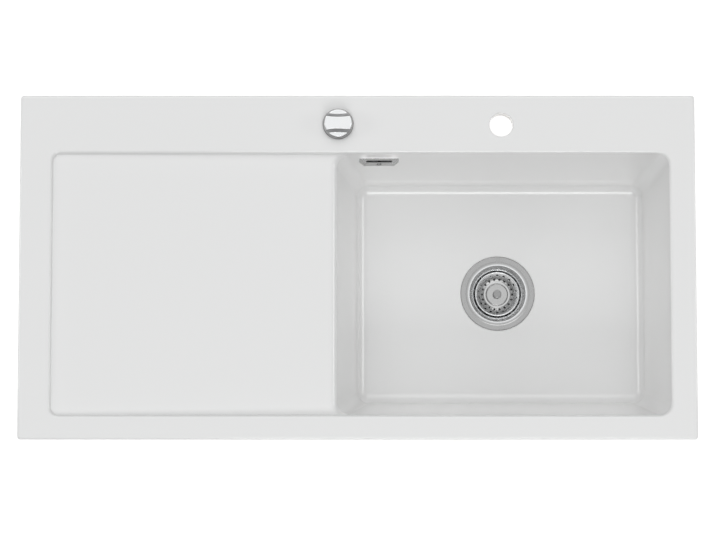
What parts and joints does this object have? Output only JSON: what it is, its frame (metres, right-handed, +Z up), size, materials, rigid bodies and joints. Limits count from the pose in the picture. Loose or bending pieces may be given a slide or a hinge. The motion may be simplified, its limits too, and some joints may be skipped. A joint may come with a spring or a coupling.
{
  "type": "kitchen sink",
  "caption": "Inset white ceramic kitchen sink with drainboard, one deep rectangular bowl, strainer waste, overflow and rotary waste control",
  "frame": {"origin": "centre of the sink's outline on the worktop surface that the rim rests on", "axes": "+X along the sink towards the bowl, +Y towards the tap ledge, +Z up"},
  "size_m": [1, 0.51, 0.3473],
  "materials": {
    "ceramic": "satin white glaze",
    "brushed_steel": "satin steel",
    "steel_fasteners": "plain steel",
    "chrome": "polished chrome",
    "brass": "plain brass",
    "white_plastic": "moulded white plastic",
    "hose_plastic": "ribbed white plastic",
    "black_plastic": "moulded black plastic",
    "cable_black": "extruded black plastic",
    "rubber": "black rubber"
  },
  "bodies": {
    "sink": {"sink_body": "ceramic", "waste_upper_seal": "rubber", "waste_lower_seal": "rubber", "strainer_cup": "brushed_steel", "waste_body": "white_plastic", "outlet_tail": "white_plastic", "clamping_screw": "steel_fasteners", "gland_seal": "rubber", "gland_nut": "white_plastic", "cable_adjuster": "brass", "front_lock_nut": "steel_fasteners", "back_lock_nut": "steel_fasteners", "cable_sheath": "cable_black", "overflow_cover": "brushed_steel", "cover_screw": "brushed_steel", "overflow_gasket": "rubber", "overflow_elbow": "white_plastic", "overflow_hose": "hose_plastic", "upper_hose_nut": "white_plastic", "lower_hose_nut": "white_plastic", "control_washer": "rubber", "control_escutcheon": "chrome", "control_housing": "brass", "control_cap": "brass", "control_under_washer": "rubber", "control_nut": "brass"},
    "knob": {"control_knob": "chrome", "knob_grub_screw": "steel_fasteners", "control_spindle": "brass"},
    "follower": {"cam_follower": "white_plastic", "follower_pin": "steel_fasteners", "upper_wire": "steel_fasteners"},
    "rocker": {"rocker_shaft": "steel_fasteners", "rocker_finger": "black_plastic", "rocker_crank": "black_plastic", "crank_clip": "steel_fasteners"},
    "wire_end": {"lower_wire": "steel_fasteners", "cable_nipple": "brass"},
    "lift_rod": {"lift_rod": "steel_fasteners"},
    "basket": {"strainer_basket": "brushed_steel", "basket_stem": "steel_fasteners", "basket_seal": "rubber", "basket_grip": "chrome"}
  },
  "joints": [
    {"name": "knob_turn", "type": "hinge", "parent": "sink", "child": "knob", "pos_m": [-0.0289, 0.2116, 0.0148], "axis": [0, 0, 1], "range_deg": [0, 90]},
    {"name": "follower_slide", "type": "slide", "parent": "sink", "child": "follower", "axis": [0, 0, 1], "range_m": [0, 0.013]},
    {"name": "wire_slide", "type": "slide", "parent": "sink", "child": "wire_end", "axis": [-1, 0, 0], "range_m": [0, 0.013]},
    {"name": "rocker_turn", "type": "hinge", "parent": "sink", "child": "rocker", "pos_m": [0.231, -0.024, -0.2635], "axis": [0, 1, 0], "range_deg": [0, 36]},
    {"name": "rod_lift", "type": "slide", "parent": "sink", "child": "lift_rod", "axis": [0, 0, 1], "range_m": [0, 0.00865]},
    {"name": "basket_removal", "type": "slide", "parent": "lift_rod", "child": "basket", "axis": [0, 0, 1], "range_m": [0, 0.26]}
  ],
  "couplings": [
    {"joint": "follower_slide", "follows": "knob_turn", "m_per_rad": 0.008274},
    {"joint": "wire_slide", "follows": "knob_turn", "m_per_rad": 0.008274},
    {"joint": "rocker_turn", "follows": "knob_turn", "ratio": 0.4},
    {"joint": "rod_lift", "follows": "knob_turn", "m_per_rad": 0.0055083}
  ]
}
